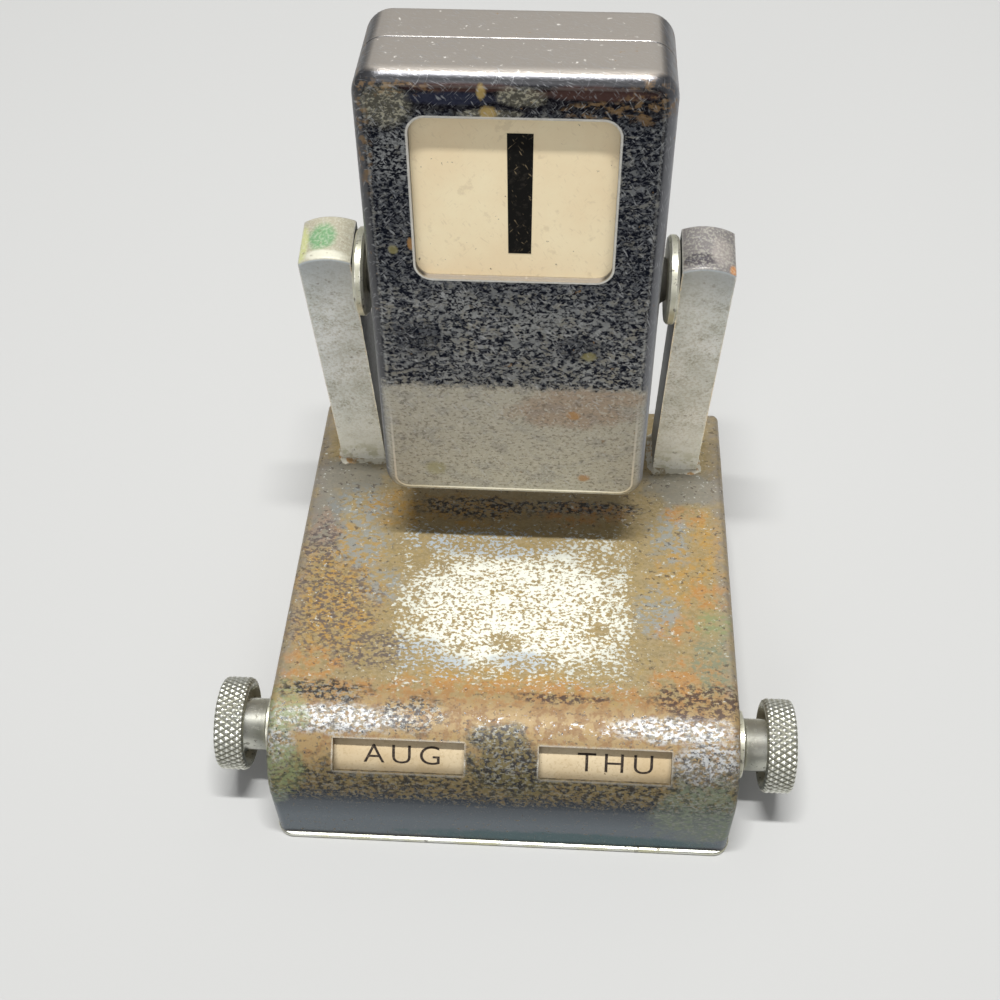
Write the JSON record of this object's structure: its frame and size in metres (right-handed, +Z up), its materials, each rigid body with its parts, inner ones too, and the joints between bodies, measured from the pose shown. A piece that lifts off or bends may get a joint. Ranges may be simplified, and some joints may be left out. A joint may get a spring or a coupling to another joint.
{
  "type": "perpetual desk calendar",
  "caption": "Metal desk calendar: a wedge base with two drum windows and knurled end knobs, and a tilting date case of sliding tiles held between two arms.",
  "frame": {"origin": "middle of the base's underside, on the table", "axes": "+Z up, +X to the right as seen from the front, -Y towards the reader"},
  "size_m": [0.0754, 0.071, 0.0823],
  "materials": {
    "tarnished_chrome": "chrome plate with brown and orange tarnish, dark specks and green corrosion",
    "pitted_chrome": "dark chrome plate with grey pitting, fine scratches and rust specks",
    "rim_chrome": "bright rim with a dull underside",
    "arm_metal": "worn matte silver with dark specks and green corrosion",
    "pale_washer": "pale yellowish plated metal",
    "knurled_metal": "dull olive silver with a diamond knurl",
    "plated_trim": "plain plated steel",
    "steel": "plain steel",
    "brass": "turned brass",
    "ivory_tile": "ivory celluloid with black print",
    "printed_band": "aged cream paper band with dark print"
  },
  "bodies": {
    "base": {"base_shell": "tarnished_chrome", "base_plate": "rim_chrome", "base_screws": "steel", "base_lugs": "steel", "left_arm": "arm_metal", "right_arm": "arm_metal", "left_bushing": "pale_washer", "right_bushing": "pale_washer", "left_friction_washer": "steel", "right_friction_washer": "steel", "centre_bearing": "brass"},
    "case": {"front_shell": "pitted_chrome", "rear_shell": "pitted_chrome", "tile_guide_left": "steel", "tile_guide_right": "steel", "left_hub_nut": "brass", "left_spring_washer": "steel", "left_disc": "pale_washer", "left_pivot_screw": "steel", "right_hub_nut": "brass", "right_spring_washer": "steel", "right_disc": "pale_washer", "right_pivot_screw": "steel", "date_tile_01": "ivory_tile", "date_tile_02": "ivory_tile", "date_tile_03": "ivory_tile", "date_tile_04": "ivory_tile", "date_tile_05": "ivory_tile", "date_tile_06": "ivory_tile", "date_tile_07": "ivory_tile", "date_tile_08": "ivory_tile", "date_tile_09": "ivory_tile", "date_tile_10": "ivory_tile", "date_tile_11": "ivory_tile", "date_tile_12": "ivory_tile", "date_tile_13": "ivory_tile", "date_tile_14": "ivory_tile", "date_tile_15": "ivory_tile", "date_tile_16": "ivory_tile", "date_tile_17": "ivory_tile", "date_tile_18": "ivory_tile", "date_tile_19": "ivory_tile", "date_tile_20": "ivory_tile", "date_tile_21": "ivory_tile", "date_tile_22": "ivory_tile", "date_tile_23": "ivory_tile", "date_tile_24": "ivory_tile", "date_tile_25": "ivory_tile", "date_tile_26": "ivory_tile", "date_tile_27": "ivory_tile", "date_tile_28": "ivory_tile", "date_tile_29": "ivory_tile", "date_tile_30": "ivory_tile"},
    "month_wheel": {"month_knob": "knurled_metal", "month_drum": "printed_band", "month_drum_pin": "steel"},
    "weekday_wheel": {"weekday_knob": "knurled_metal", "weekday_drum": "printed_band", "weekday_drum_pin": "steel"},
    "drop_tile": {"date_tile_31": "ivory_tile"}
  },
  "joints": [
    {"name": "case_pivot", "type": "hinge", "parent": "base", "child": "case", "pos_m": [0, 0.02305, 0.05122], "axis": [1, 0, 0], "continuous": true},
    {"name": "month_knob_turn", "type": "hinge", "parent": "base", "child": "month_wheel", "pos_m": [0, -0.02069, 0.00978], "axis": [1, 0, 0], "continuous": true},
    {"name": "weekday_knob_turn", "type": "hinge", "parent": "base", "child": "weekday_wheel", "pos_m": [0, -0.02069, 0.00978], "axis": [1, 0, 0], "continuous": true},
    {"name": "tile_drop", "type": "slide", "parent": "case", "child": "drop_tile", "axis": [0, 0.2554, 0.9668], "range_m": [0, 0.03]}
  ]
}
